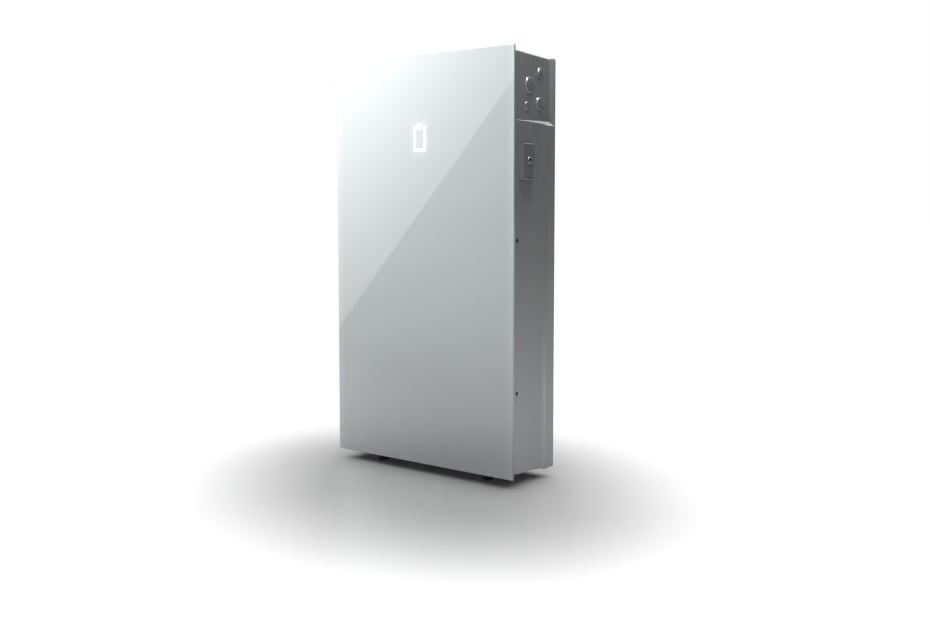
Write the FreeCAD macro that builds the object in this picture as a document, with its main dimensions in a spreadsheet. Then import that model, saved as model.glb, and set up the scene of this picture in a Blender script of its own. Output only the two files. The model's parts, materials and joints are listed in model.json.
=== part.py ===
"""Wall battery unit: a glass-fronted enclosure with its battery, inverter, cooling and wall bracket.

Every sub-part is drawn in the glass frame: X across from the centre, Y the depth behind the front face of
the glass, Z the height above the lower edge of the glass. A Placement then carries it to the model frame,
whose origin is the bottom centre of the whole unit: +X right, +Y to the rear, +Z up, in millimetres.
"""
import FreeCAD, Part
import math
import os
import re
import Sketcher

DIMENSIONS = {
    # Whole unit
    "total_depth": 193, "floor_gap": 26,
    # Glass cover
    "glass_width": 609, "glass_height": 1099, "glass_thick": 5, "glass_bevel": 0.8, "glass_corner": 1.5,
    "backing_half": 292, "backing_low": 9, "backing_high": 1090, "backing_back": 6.5,
    "frame_half": 286, "frame_low": 16, "frame_high": 1082, "frame_band": 22, "frame_back": 11.5,
    "frame_corner": 4, "bar_low_first": 300, "bar_low_second": 640,
    "clip_low": 220.6, "clip_high": 612.5, "clip_inner": 279, "clip_leaf": 1.5, "clip_width": 14,
    "clip_back": 31, "barb_front": 24, "barb_back": 28, "barb_proud": 2.5,
    "pin_across": 272, "pin_height": 1000, "pin_radius": 4, "pin_back": 27,
    # Lit battery pictogram in the glass
    "mark_height": 878, "mark_half_wide": 21, "mark_half_tall": 33, "mark_stroke": 7,
    "nub_half_wide": 9, "nub_tall": 8, "mark_deep": 1.2, "mark_clear": 0.1,
    "guide_half_wide": 27, "guide_half_tall": 43, "guide_back": 8.5, "led_board_back": 10,
    "led_board_margin": 4,
    # Enclosure shell
    "shell_front": 14, "shell_back": 154, "shell_wall": 2.6, "shell_half_front": 296.5,
    "shell_half_mid": 297.2, "shell_mid": 95, "shell_half_sweep": 298.8, "shell_sweep": 138,
    "sweep_round": 90,
    "rim_half": 303.5, "rim_front": 155, "flange_front": 187,
    "shell_low_front": 13, "shell_low_first": 33, "shell_low_first_z": 10.3, "shell_low_second": 112,
    "shell_low_second_z": 6.5, "shell_low_back": 2, "shell_high_front": 1089.8, "shell_high_back": 1086.3,
    "deck_low": 922, "deck_high": 928, "cavity_shoulder": 903, "cavity_top_half": 281,
    "recess_half_back": 286.4, "recess_floor": 902, "ledge_half": 300, "ledge_height": 912,
    "ledge_rise": 0.84, "shell_round": 4, "shell_front_ease": 2,
    "compartment_top": 1083, "opening_half": 248, "opening_low": 946, "opening_high": 1048,
    "release_depth": 27.5, "release_radius": 5.6, "release_cap_deep": 5, "release_cap_proud": 0.6,
    # Switch block on the right side
    "block_front": 44.5, "block_back": 92.5, "block_low": 766.5, "block_high": 858.5, "block_half": 303.2,
    "block_bevel": 1, "fairing_rise": 5.6, "fairing_start": 18, "plate_front": 48, "plate_back": 90,
    "plate_low": 771, "plate_high": 854, "plate_thick": 1.5, "plate_gap": 0.5, "plate_corner": 1.5,
    "notch_radius": 34, "notch_reach": 3, "notch_depth_at": 70, "switch_depth": 75, "switch_height": 815.5,
    "ring_radius": 10, "ring_hole": 7.5, "ring_proud": 1.2, "button_radius": 7.2, "button_sunk": 0.2,
    "button_crown": 5, "button_wall": 1.4,
    "barrel_radius": 9.6, "barrel_clear": 0.3, "barrel_bore": 7.25, "barrel_inner": 262, "barrel_floor": 4,
    "button_inner": 284,
    "spring_radius": 4.6, "spring_wire": 0.8, "spring_coils": 6,
    # Wiring compartment cover
    "wiring_half": 261, "wiring_low": 932, "wiring_high": 1062, "wiring_front": 11.8, "wiring_back": 13.2,
    "wiring_corner": 6, "small_screw_radius": 3.6, "small_shank_radius": 1.8, "screw_clear": 0.2,
    "head_tall": 1.6, "wiring_screw_across": 254, "wiring_screw_in": 7, "wiring_screw_deep": 8,
    # Conduit entries in the recessed wall
    "plug_gap": 0.9, "plug_seat": 1, "plug_proud": 1.6, "plug_bevel": 1.4, "plug_neck_in": 3,
    "plug_skirt_out": 1.5,
    "plug_flange": 3, "plug_nut": 4, "nut_ratio": 0.72,
    # Rear chassis, gasket, back plate
    "chassis_low": -1.4, "chassis_high": 921.5, "chassis_wall": 3, "chassis_corner": 5, "gasket_inset": 1.6,
    "boss_half": 6, "boss_reach": 11, "flange_high": 1085, "plate_deep": 2, "lip_wide": 3,
    "flange_corner": 5, "step_half": 294.5, "step_low": 927, "step_deep": 1, "hole_clear": 0.05,
    "screw_across_in": 12, "screw_bottom": 8, "screw_low": 14, "screw_mid_low": 240, "screw_mid_high": 480,
    "screw_high": 700, "shell_boss_long": 18, "shell_screw_in": 9, "shell_screw_drop": 8, "screw_deep": 8,
    "window_half": 258, "window_low": 716, "window_high": 884,
    "vent_half": 210, "vent_low": 893, "vent_slot": 5, "vent_pitch": 9, "vent_rows": 3,
    # Wall bracket and the rail it carries
    "bracket_half": 240, "bracket_low": 752, "bracket_high": 862, "bracket_front": 190.5,
    "bolt_across": 203.2, "bolt_up": 25, "bolt_middle": 817, "bolt_radius": 4.5,
    "hook_half": 15, "hook_thick": 5, "hook_front": 168, "hook_lip_back": 172, "hook_lip_high": 812,
    "hook_across": 150, "hook_clear": 0.5, "bracket_corner": 6,
    "rail_front": 175, "rail_back": 183, "rail_low": 798, "rail_high": 834, "rail_half": 280,
    "rail_corner": 3, "post_across": 266, "post_half": 10, "post_in": 3,
    # Cooling
    "fan_across": 120, "fan_height": 350, "fan_half": 60, "fan_front": 162, "fan_back": 187,
    "fan_bore": 57, "fan_corner": 8, "fan_web": 3, "spoke_half": 3, "spoke_deep": 2.5, "fan_screw_at": 52.5,
    "rotor_radius": 54.5, "hub_radius": 19, "hub_start": 4, "hub_short": 6, "blade_thick": 1.6,
    "blade_wide": 15, "blade_pitch": 35, "blade_count": 7,
    "guard_wire": 0.9, "guard_deep": 2, "guard_radius": 52, "guard_reach": 4, "guard_pitch": 14,
    "sink_half": 235, "sink_low": 440, "sink_high": 690, "sink_base": 162, "sink_back": 184,
    "fin_thick": 2.2, "fin_count": 32,
    # Battery
    "module_half": 268, "module_low": 22, "module_tall": 122, "module_pitch": 129, "module_front": 44,
    "module_back": 148, "module_round": 5, "terminal_radius": 7, "terminal_tall": 5,
    "cradle_thick": 2, "cradle_gap": 1, "terminal_in": 40, "spacer_in": 10, "bus_half": 9, "bus_thick": 2.5,
    # Electronics
    "board_half": 262, "board_back": 142, "board_front": 140.2, "board_corner": 4, "power_low": 556,
    "power_high": 716, "control_low": 730, "control_high": 888, "standoff_radius": 4,
    "standoff_across": 250, "standoff_in": 10,
    "inductor_first": -210, "inductor_pitch": 76, "inductor_up": 48, "inductor_radius": 32,
    "inductor_hole": 12, "inductor_tall": 46,
    "can_first": 50, "can_pitch": 42, "can_up": 32, "can_row": 44, "can_radius": 16, "can_tall": 50,
    "contactor_left": -215, "contactor_right": -125, "contactor_low": 92, "contactor_high": 150,
    "contactor_tall": 62, "contactor_corner": 5,
    "shield_across": 180, "shield_half": 45, "shield_low": 40, "shield_high": 120, "shield_tall": 16,
    # Wiring compartment
    "strip_first": -150, "strip_pitch": 34, "strip_wide": 28, "strip_tall": 42, "strip_front": 100,
    "strip_back": 150, "ground_left": 90, "ground_right": 200, "ground_tall": 14, "ground_front": 112,
    "ground_back": 124, "lug_in": 8, "lug_pitch": 14, "lug_radius": 2.4, "lug_count": 8, "lug_floor": 2,
    # Feet
    "foot_across": 185, "foot_front": 58, "foot_back": 132, "foot_radius": 15, "foot_pad": 9,
    "stem_radius": 14, "foot_stem_top": 14.5, "vent_plug_depth": 95, "vent_plug_neck": 6,
    "vent_plug_radius": 11, "vent_plug_low": 1.2, "vent_plug_cap": 5, "vent_plug_top": 16,
}
# Height and depth of each conduit entry's centre, and the radius of its hole, by trade size
CONDUIT_ENTRIES = {
    "three_quarter_inch": (1044, 142, 15.0),
    "inch_and_quarter": (1008, 88, 22.5),
    "half_inch": (954.5, 74, 12.25),
    "one_inch": (964.5, 140.5, 18.5),
}
SIDES = {"right": 1, "left": -1}
AXES = ("x", "y", "z")
PLANE_OF_AXIS = {"x": "YZ_Plane", "y": "XZ_Plane", "z": "XY_Plane"}
ALIAS = re.compile(r"\b(" + "|".join(DIMENSIONS) + r")\b")

doc = FreeCAD.newDocument("wall_battery_unit")
sheet = doc.addObject("Spreadsheet::Sheet", "dims")
for row, (alias, number) in enumerate(DIMENSIONS.items(), start=1):
    sheet.set(f"A{row}", alias)
    sheet.set(f"B{row}", str(number))
    sheet.setAlias(f"B{row}", alias)
doc.recompute()
subparts = {}


# ---------------------------------------------------------------- helpers
def formula(text):
    """A sheet formula: every dimension's name gets the sheet's name in front."""
    return ALIAS.sub(r"dims.\1", str(text))


def number_of(text):
    """The present value of a formula."""
    return float(sheet.evalExpression(formula(text)))


def bind(obj, **formulas):
    """Bind properties to formulas; Placement parts are written with __ for each dot."""
    for name, text in formulas.items():
        obj.setExpression(name.replace("__", "."), formula(text))


def settle(obj, label):
    """Name a finished sub-part and carry it from the glass frame to the model frame."""
    obj.Label = label
    bind(obj, Placement__Base__y="-total_depth / 2", Placement__Base__z="floor_gap")
    subparts[label] = obj
    return obj


def new_body(name):
    return doc.addObject("PartDesign::Body", name)


def box_loop(x_low, x_high, y_low, y_high):
    """The four corners of a rectangle in a sketch."""
    return [(x_low, y_low), (x_high, y_low), (x_high, y_high), (x_low, y_high)]


def mirrored(loop):
    """The same outline on the other side of the centre plane, for sketches whose first axis is X."""
    return [(f"-({across})", up) for across, up in reversed(loop)]


def draw_polygon(sketch, points):
    """A closed outline whose corners are each bound to a pair of formulas."""
    first = sketch.GeometryCount
    count = len(points)
    places = [(number_of(across), number_of(up)) for across, up in points]
    for i in range(count):
        start = FreeCAD.Vector(*places[i], 0)
        end = FreeCAD.Vector(*places[(i + 1) % count], 0)
        sketch.addGeometry(Part.LineSegment(start, end), False)
    for i in range(count):
        following = first + (i + 1) % count
        sketch.addConstraint(Sketcher.Constraint("Coincident", first + i, 2, following, 1))
    for i in range(count):
        for kind, value, text in zip(("DistanceX", "DistanceY"), places[i], points[i]):
            index = sketch.addConstraint(Sketcher.Constraint(kind, -1, 1, first + i, 1, value))
            sketch.setExpression(f"Constraints[{index}]", formula(text))


def draw_circle(sketch, across, up, radius):
    """A circle whose centre and radius are bound to formulas."""
    centre = FreeCAD.Vector(number_of(across), number_of(up), 0)
    circle = sketch.addGeometry(Part.Circle(centre, FreeCAD.Vector(0, 0, 1), number_of(radius)), False)
    bound = (("DistanceX", (-1, 1, circle, 3), across), ("DistanceY", (-1, 1, circle, 3), up),
             ("Radius", (circle,), radius))
    for kind, places, text in bound:
        index = sketch.addConstraint(Sketcher.Constraint(kind, *places, number_of(text)))
        sketch.setExpression(f"Constraints[{index}]", formula(text))


def extrude(body, kind, axis, loops, start, end, circles=()):
    """Pad or pocket outlines along a main axis, from one coordinate to a higher one."""
    origin = next(f for f in body.Origin.OriginFeatures if f.Role == PLANE_OF_AXIS[axis])
    sketch = body.newObject("Sketcher::SketchObject", f"{body.Name}_outline")
    sketch.AttachmentSupport = [(origin, "")]
    sketch.MapMode = "FlatFace"
    plane_sign = "-" if axis == "y" else ""
    bind(sketch, AttachmentOffset__Base__z=f"{plane_sign}({start})")
    for loop in loops:
        draw_polygon(sketch, loop)
    for across, up, radius in circles:
        draw_circle(sketch, across, up, radius)
    feature = body.newObject(f"PartDesign::{kind}", f"{body.Name}_{kind.lower()}")
    feature.Profile = sketch
    bind(feature, Length=f"({end}) - ({start})")
    feature.Reversed = (axis == "y") == (kind == "Pad")
    doc.recompute()
    return feature


def dress(body, kind, test, **formulas):
    """Fillet or chamfer every edge of the body whose two ends pass the test."""
    names = []
    for i, edge in enumerate(body.Tip.Shape.Edges, start=1):
        ends = [vertex.Point for vertex in edge.Vertexes]
        if len(ends) == 2 and test(*ends):
            names.append(f"Edge{i}")
    return dress_named(body, kind, names, **formulas)


def dress_circles(body, kind, radius, **formulas):
    """Fillet or chamfer every full circle of one radius."""
    size = number_of(radius)
    names = [f"Edge{i}" for i, edge in enumerate(body.Tip.Shape.Edges, start=1)
             if len(edge.Vertexes) == 1 and abs(edge.Length - math.tau * size) < 1e-3]
    return dress_named(body, kind, names, **formulas)


def dress_named(body, kind, names, **formulas):
    base = body.Tip
    feature = body.newObject(f"PartDesign::{kind}", f"{body.Name}_{kind.lower()}")
    feature.Base = (base, names)
    bind(feature, **formulas)
    doc.recompute()
    return feature


def along(axis, minimum=0.0):
    """A test for straight edges that run along one main axis and are longer than a minimum."""
    def test(first, second):
        step = second - first
        others = [abs(getattr(step, other)) for other in AXES if other != axis]
        return abs(getattr(step, axis)) > max(minimum, 1e-3) and max(others) < 1e-3
    return test


def plate(label, axis, loops, start, end, circles=()):
    """A body that is one pad, such as a plate, bar or ring."""
    body = new_body(label)
    extrude(body, "Pad", axis, loops, start, end, circles)
    return settle(body, label)


def block(name, x_low, x_high, y_low, y_high, z_low, z_high):
    """A rectangular block between six formulas."""
    solid = doc.addObject("Part::Box", name)
    bind(solid, Length=f"({x_high}) - ({x_low})", Width=f"({y_high}) - ({y_low})",
         Height=f"({z_high}) - ({z_low})", Placement__Base__x=x_low, Placement__Base__y=y_low,
         Placement__Base__z=z_low)
    return solid


def rod(name, axis, x, y, z, radius, length):
    """A cylinder that starts at a point and runs along +X, +Y or +Z."""
    solid = doc.addObject("Part::Cylinder", name)
    turns = {"x": (FreeCAD.Vector(0, 1, 0), 90), "y": (FreeCAD.Vector(1, 0, 0), -90),
             "z": (FreeCAD.Vector(0, 0, 1), 0)}
    solid.Placement = FreeCAD.Placement(FreeCAD.Vector(), FreeCAD.Rotation(*turns[axis]))
    bind(solid, Radius=radius, Height=length, Placement__Base__x=x, Placement__Base__y=y,
         Placement__Base__z=z)
    return solid


def fuse(name, solids):
    joined = doc.addObject("Part::MultiFuse", name)
    joined.Shapes = solids
    return joined


def cut(name, base, tool):
    result = doc.addObject("Part::Cut", name)
    result.Base = base
    result.Tool = tool
    return result


# ---------------------------------------------------------------- glass cover
def mark_outline(grow):
    """Outer outline of the battery pictogram, a rectangle with a terminal nub on top."""
    half = f"(mark_half_wide + {grow})"
    low = f"mark_height - mark_half_tall - {grow}"
    high = f"mark_height + mark_half_tall + {grow}"
    nub_half = f"(nub_half_wide + {grow})"
    nub_top = f"mark_height + mark_half_tall + nub_tall + {grow}"
    return [(f"-{half}", low), (half, low), (half, high), (nub_half, high), (nub_half, nub_top),
            (f"-{nub_half}", nub_top), (f"-{nub_half}", high), (f"-{half}", high)]


def mark_window(grow):
    """Inner outline of the pictogram."""
    half = f"(mark_half_wide - mark_stroke - {grow})"
    low = f"mark_height - mark_half_tall + mark_stroke + {grow}"
    high = f"mark_height + mark_half_tall - mark_stroke - {grow}"
    return box_loop(f"-{half}", half, low, high)


def make_front_glass():
    body = new_body("front_glass")
    outline = box_loop("-glass_width / 2", "glass_width / 2", "0", "glass_height")
    extrude(body, "Pad", "y", [outline], "0", "glass_thick")
    dress(body, "Fillet", along("y"), Radius="glass_corner")
    dress(body, "Chamfer", lambda a, b: abs(a.y) < 1e-3 and abs(b.y) < 1e-3, Size="glass_bevel")
    extrude(body, "Pocket", "y", [mark_outline("mark_clear"), mark_window("mark_clear")], "-1", "mark_deep")
    settle(body, "front_glass")


def make_mark():
    plate("mark_lens", "y", [mark_outline("0"), mark_window("0")], "0.05", "mark_deep")
    guide = box_loop("-guide_half_wide", "guide_half_wide", "mark_height - guide_half_tall",
                     "mark_height + guide_half_tall")
    plate("light_guide", "y", [guide], "glass_thick", "guide_back")
    board = new_body("mark_led_board")
    half = "(guide_half_wide + led_board_margin)"
    tall = "(guide_half_tall + led_board_margin)"
    outline = box_loop(f"-{half}", half, f"mark_height - {tall}", f"mark_height + {tall}")
    extrude(board, "Pad", "y", [outline], "guide_back", "led_board_back")
    dress(board, "Fillet", along("y"), Radius="led_board_margin")
    settle(board, "mark_led_board")


def make_backing_panel():
    outline = box_loop("-backing_half", "backing_half", "backing_low", "backing_high")
    light_way = box_loop("-guide_half_wide - 0.5", "guide_half_wide + 0.5",
                         "mark_height - guide_half_tall - 0.5", "mark_height + guide_half_tall + 0.5")
    body = new_body("backing_panel")
    extrude(body, "Pad", "y", [outline, light_way], "glass_thick", "backing_back")
    settle(body, "backing_panel")


def make_cover_frame():
    body = new_body("cover_frame")
    outline = box_loop("-frame_half", "frame_half", "frame_low", "frame_high")
    extrude(body, "Pad", "y", [outline], "backing_back", "frame_back")
    inner = "(frame_half - frame_band)"
    levels = ["frame_low", "bar_low_first", "bar_low_second", "frame_high - frame_band"]
    windows = [box_loop(f"-{inner}", inner, f"{low} + frame_band", high)
               for low, high in zip(levels, levels[1:])]
    extrude(body, "Pocket", "y", windows, "backing_back - 1", "frame_back + 1")
    dress(body, "Fillet", along("y"), Radius="frame_corner")
    settle(body, "cover_frame")


def make_cover_clips():
    leaves = []
    for side, sign in SIDES.items():
        for level in ("clip_low", "clip_high"):
            inner, outer = "clip_inner", "clip_inner + clip_leaf"
            if sign < 0:
                inner, outer = "-clip_inner - clip_leaf", "-clip_inner"
            barb_low = "clip_inner + clip_leaf" if sign > 0 else "-clip_inner - clip_leaf - barb_proud"
            low, high = f"{level} - clip_width / 2", f"{level} + clip_width / 2"
            leaf = block(f"leaf_{side}_{level}", inner, outer, "frame_back", "clip_back", low, high)
            barb = block(f"barb_{side}_{level}", barb_low, f"{barb_low} + barb_proud", "barb_front",
                         "barb_back", low, high)
            leaves += [leaf, barb]
    settle(fuse("clip_set", leaves), "cover_clips")


def make_locating_pins():
    pins = [rod(f"pin_{side}", "y", f"{sign} * pin_across", "frame_back", "pin_height", "pin_radius",
                "pin_back - frame_back") for side, sign in SIDES.items()]
    settle(fuse("pin_set", pins), "locating_pins")


# ---------------------------------------------------------------- enclosure
def recess_plane(depth):
    """Half width of the tapering wiring wall at a depth."""
    return (f"(shell_half_front - (shell_half_front - recess_half_back) * ({depth} - shell_front)"
            " / (flange_front - shell_front))")


def ledge_at(half_width):
    """Height of the sloping ledge at a half width."""
    return f"(ledge_height + (ledge_half - {half_width}) * ledge_rise)"


def make_enclosure_shell():
    body = new_body("enclosure_shell")
    side_view = [("shell_front", "shell_low_front + 1"), ("shell_front + 3", "shell_low_front - 1"),
                 ("shell_low_first", "shell_low_first_z"),
                 ("shell_low_second", "shell_low_second_z"), ("shell_back", "shell_low_back"),
                 ("shell_back", "deck_low"), ("flange_front", "deck_low"),
                 ("flange_front", "shell_high_back"), ("shell_front", "shell_high_front")]
    extrude(body, "Pad", "x", [side_view], "-rim_half", "rim_half")

    # The wiring walls draw in towards the rear above the ledge
    eased = "shell_front + shell_front_ease"
    recess = [("shell_half_front - shell_front_ease", "shell_front - 5"),
              ("shell_half_front - shell_front_ease", "shell_front"), (recess_plane(f"({eased})"), eased),
              ("recess_half_back", "flange_front"), ("recess_half_back", "flange_front + 5"),
              ("rim_half + 5", "flange_front + 5"), ("rim_half + 5", "shell_front - 5")]
    extrude(body, "Pocket", "z", [recess, mirrored(recess)], "recess_floor", "shell_high_front + 5")
    high = number_of("shell_high_back") - 1
    wide = number_of("recess_half_back") - 2
    dress(body, "Fillet", lambda a, b: min(a.z, b.z) > high and min(abs(a.x), abs(b.x)) > wide
          and abs(a.y - b.y) > 50, Radius="shell_round")
    inner = "(recess_half_back - 4)"
    ledge = [(inner, "recess_floor"), ("rim_half", "recess_floor"), ("rim_half", ledge_at("rim_half")),
             (inner, ledge_at(inner))]
    extrude(body, "Pad", "y", [ledge, mirrored(ledge)], "shell_front", "shell_back")

    # The main side walls sweep out to the rim
    outside = [("shell_half_front - shell_front_ease", "shell_front - 5"),
               ("shell_half_front - shell_front_ease", "shell_front"), ("shell_half_front", eased),
               ("shell_half_mid", "shell_mid"), ("shell_half_sweep", "shell_sweep"),
               ("rim_half", "shell_back"), ("rim_half + 5", "shell_back"),
               ("rim_half + 5", "shell_front - 5")]
    extrude(body, "Pocket", "z", [outside, mirrored(outside)], "-20", "ledge_height + 20")
    fold = number_of("shell_sweep")
    dress(body, "Fillet", lambda a, b: abs(a.z - b.z) > 500 and min(abs(a.x), abs(b.x)) > 290
          and max(abs(a.y - fold), abs(b.y - fold)) < 0.01, Radius="sweep_round")

    # Switch block with a fairing that rises from the front edge
    run = "(block_front - fairing_start)"
    slope = [(f"shell_half_front - 0.3 + fairing_rise * {t} ^ 3", f"fairing_start + {run} * {t}")
             for t in (0, 0.4, 0.6, 0.75, 0.88, 1)]
    fairing = ([("shell_half_front - 8", "fairing_start")] + slope
               + [("block_half", "block_front + 0.5"), ("block_half", "block_back"),
                  ("shell_half_front - 8", "block_back")])
    extrude(body, "Pad", "z", [fairing], "block_low", "block_high")
    proud = number_of("block_half") - 0.5
    rear = number_of("block_back") + 0.5
    dress(body, "Chamfer", lambda a, b: min(a.x, b.x) > proud and max(a.y, b.y) < rear, Size="block_bevel")

    hollow_shell(body)
    open_shell(body)
    settle(body, "enclosure_shell")


def hollow_shell(body):
    """The battery cavity, open to the rear, and the wiring compartment above its deck."""
    wall = "shell_wall"
    cavity = [(f"shell_front + {wall}", f"shell_low_front + {wall}"),
              ("shell_low_first", f"shell_low_first_z + {wall}"),
              ("shell_low_second", f"shell_low_second_z + {wall}"),
              ("shell_back + 1", f"shell_low_back + {wall}"), ("shell_back + 1", "cavity_shoulder"),
              (f"shell_front + {wall}", "cavity_shoulder")]
    half = f"(shell_half_front - {wall})"
    extrude(body, "Pocket", "x", [cavity], f"-{half}", half)
    upper = box_loop("-cavity_top_half", "cavity_top_half", "cavity_shoulder - 1", "deck_low")
    extrude(body, "Pocket", "y", [upper], f"shell_front + {wall}", "shell_back + 1")
    front_half = f"({recess_plane('shell_front')} - {wall})"
    rear_half = f"({recess_plane('flange_front')} - {wall})"
    compartment = [(f"-{front_half}", f"shell_front + {wall}"), (front_half, f"shell_front + {wall}"),
                   (rear_half, "flange_front"), (rear_half, "flange_front + 1"),
                   (f"-{rear_half}", "flange_front + 1"), (f"-{rear_half}", "flange_front")]
    extrude(body, "Pocket", "z", [compartment], "deck_high", "compartment_top")
    bosses = [box_loop(f"{x} - boss_half", f"{x} + boss_half", f"{z} - boss_half", "compartment_top + 1")
              for x, z in shell_screw_places()]
    extrude(body, "Pad", "y", bosses, "flange_front - shell_boss_long", "flange_front")
    shank_holes = [(x, z, "small_shank_radius + hole_clear") for x, z in shell_screw_places()]
    extrude(body, "Pocket", "y", [], "flange_front - screw_deep", "flange_front + 1", shank_holes)


def open_shell(body):
    """Openings in the shell: wiring access, clip slots, pin holes, release holes, switch, conduits, feet."""
    access = box_loop("-opening_half", "opening_half", "opening_low", "opening_high")
    slots = []
    for level in ("clip_low", "clip_high"):
        slot = box_loop("clip_inner - 2", "clip_inner + clip_leaf + barb_proud + 2",
                        f"{level} - clip_width / 2 - 2", f"{level} + clip_width / 2 + 2")
        slots += [slot, mirrored(slot)]
    pin_holes = [(f"{sign} * pin_across", "pin_height", "pin_radius + 0.5") for sign in SIDES.values()]
    cover_screw_holes = [(x, z, "small_shank_radius + screw_clear") for x, z in wiring_screw_places()]
    extrude(body, "Pocket", "y", [access] + slots, "shell_front - 1", "shell_front + shell_wall + 0.5",
            pin_holes + cover_screw_holes)
    releases = [("release_depth", level, "release_radius") for level in ("clip_low", "clip_high")]
    extrude(body, "Pocket", "x", [], "-rim_half - 1", "rim_half + 1", releases)
    plate_seat = box_loop("plate_front - plate_gap", "plate_back + plate_gap", "plate_low - plate_gap",
                          "plate_high + plate_gap")
    extrude(body, "Pocket", "x", [plate_seat], "block_half - plate_thick", "block_half + 1")
    extrude(body, "Pocket", "x", [], "block_half - 20", "block_half + 1",
            [("switch_depth", "switch_height", "barrel_radius + barrel_clear")])
    foot_holes = [(f"{sign} * foot_across", depth, "stem_radius + hole_clear")
                  for sign in SIDES.values() for depth in ("foot_front", "foot_back")]
    breather = [("0", "vent_plug_depth", "vent_plug_neck + hole_clear")]
    extrude(body, "Pocket", "z", [], "-5", "foot_stem_top + 1", foot_holes + breather)
    for height, depth, radius in CONDUIT_ENTRIES.values():
        for sign in SIDES.values():
            bore_wall(body, sign, depth, height, radius)


def wall_turn(sign):
    """Rotation that turns +Z to the outward normal of a tapering wiring wall."""
    draw_in = number_of("shell_half_front - recess_half_back")
    run = number_of("flange_front - shell_front")
    outward = FreeCAD.Vector(sign * run, draw_in, 0)
    return FreeCAD.Rotation(FreeCAD.Vector(0, 0, 1), outward)


def bore_wall(body, sign, depth, height, radius):
    """A round hole square to the wiring wall."""
    hole = body.newObject("PartDesign::SubtractiveCylinder", f"{body.Name}_conduit_hole")
    hole.Radius = radius
    bind(hole, Height="shell_wall * 4")
    half = number_of(recess_plane(depth))
    turn = wall_turn(sign)
    centre = FreeCAD.Vector(sign * half, depth, height)
    start = centre - turn.multVec(FreeCAD.Vector(0, 0, number_of("shell_wall") * 2))
    hole.Placement = FreeCAD.Placement(start, turn)
    doc.recompute()


def make_conduit_plugs():
    """Blanking plugs with bevelled caps, one pair per trade size, with lock nuts inside the wall."""
    nuts = []
    for trade, (height, depth, radius) in CONDUIT_ENTRIES.items():
        cap = radius - number_of("plug_gap")
        neck = radius - number_of("plug_neck_in")
        skirt = radius + number_of("plug_skirt_out")
        stations = (
            ("skirt", "-shell_wall - plug_flange", "plug_flange", skirt),
            ("neck", "-shell_wall - plug_flange", "shell_wall + plug_flange", neck),
            ("cap", "-plug_seat", "plug_seat + plug_proud - plug_bevel", cap),
        )
        pair = []
        for side, sign in SIDES.items():
            turn = wall_turn(sign)
            centre = FreeCAD.Vector(sign * number_of(recess_plane(depth)), depth, height)
            for part, shift, length, size in stations:
                disc = doc.addObject("Part::Cylinder", f"plug_{part}_{side}_{trade}")
                disc.Radius = size
                bind(disc, Height=length)
                start = centre + turn.multVec(FreeCAD.Vector(0, 0, number_of(shift)))
                disc.Placement = FreeCAD.Placement(start, turn)
                pair.append(disc)
            bevel = doc.addObject("Part::Cone", f"plug_bevel_{side}_{trade}")
            bevel.Radius1 = cap
            bevel.Radius2 = cap - number_of("plug_bevel")
            bind(bevel, Height="plug_bevel")
            start = centre + turn.multVec(FreeCAD.Vector(0, 0, number_of("plug_proud - plug_bevel")))
            bevel.Placement = FreeCAD.Placement(start, turn)
            pair.append(bevel)
            nuts.append(make_lock_nut(f"{side}_{trade}", centre, turn, radius))
        settle(fuse(f"plug_pair_{trade}", pair), f"conduit_plug_{trade}")
    settle(fuse("nut_set", nuts), "conduit_lock_nuts")


def make_lock_nut(name, centre, turn, radius):
    """A toothed ring's plain outline: a hexagonal plate behind the plug's skirt."""
    nut = doc.addObject("Part::Prism", f"nut_{name}")
    nut.Polygon = 6
    nut.Circumradius = radius * number_of("nut_ratio")
    bind(nut, Height="plug_nut")
    start = centre - turn.multVec(FreeCAD.Vector(0, 0, number_of("shell_wall + plug_flange + plug_nut")))
    nut.Placement = FreeCAD.Placement(start, turn)
    return nut


def make_release_caps():
    """Round black caps over the four holes that reach the cover's spring clips."""
    caps = []
    outer = "shell_half_front + release_cap_proud"
    for side, sign in SIDES.items():
        start = f"{outer} - release_cap_deep" if sign > 0 else f"-({outer})"
        for level in ("clip_low", "clip_high"):
            caps.append(rod(f"release_cap_{side}_{level}", "x", start, "release_depth", level,
                            "release_radius - hole_clear", "release_cap_deep"))
    settle(fuse("release_cap_set", caps), "release_caps")


def wiring_screw_places():
    levels = ("wiring_low + wiring_screw_in", "(wiring_low + wiring_high) / 2",
              "wiring_high - wiring_screw_in")
    return [(f"{sign} * wiring_screw_across", level) for sign in SIDES.values() for level in levels]


def make_wiring_cover():
    outline = box_loop("-wiring_half", "wiring_half", "wiring_low", "wiring_high")
    holes = [(x, z, "small_shank_radius + screw_clear") for x, z in wiring_screw_places()]
    cover = new_body("wiring_cover")
    extrude(cover, "Pad", "y", [outline], "wiring_front", "wiring_back")
    extrude(cover, "Pocket", "y", [], "wiring_front - 1", "wiring_back + 1", holes)
    dress(cover, "Fillet", along("y"), Radius="wiring_corner")
    settle(cover, "wiring_cover")
    inner = box_loop("-opening_half", "opening_half", "opening_low", "opening_high")
    seal = new_body("wiring_gasket")
    extrude(seal, "Pad", "y", [outline, inner], "wiring_back", "shell_front")
    extrude(seal, "Pocket", "y", [], "wiring_back - 1", "shell_front + 1", holes)
    settle(seal, "wiring_gasket")
    screws = []
    for i, (x, z) in enumerate(wiring_screw_places()):
        head = rod(f"cover_screw_head_{i}", "y", x, "wiring_front - head_tall", z, "small_screw_radius",
                   "head_tall")
        shank = rod(f"cover_screw_shank_{i}", "y", x, "wiring_front", z, "small_shank_radius",
                    "wiring_screw_deep")
        screws += [head, shank]
    settle(fuse("cover_screw_set", screws), "wiring_cover_screws")


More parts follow.
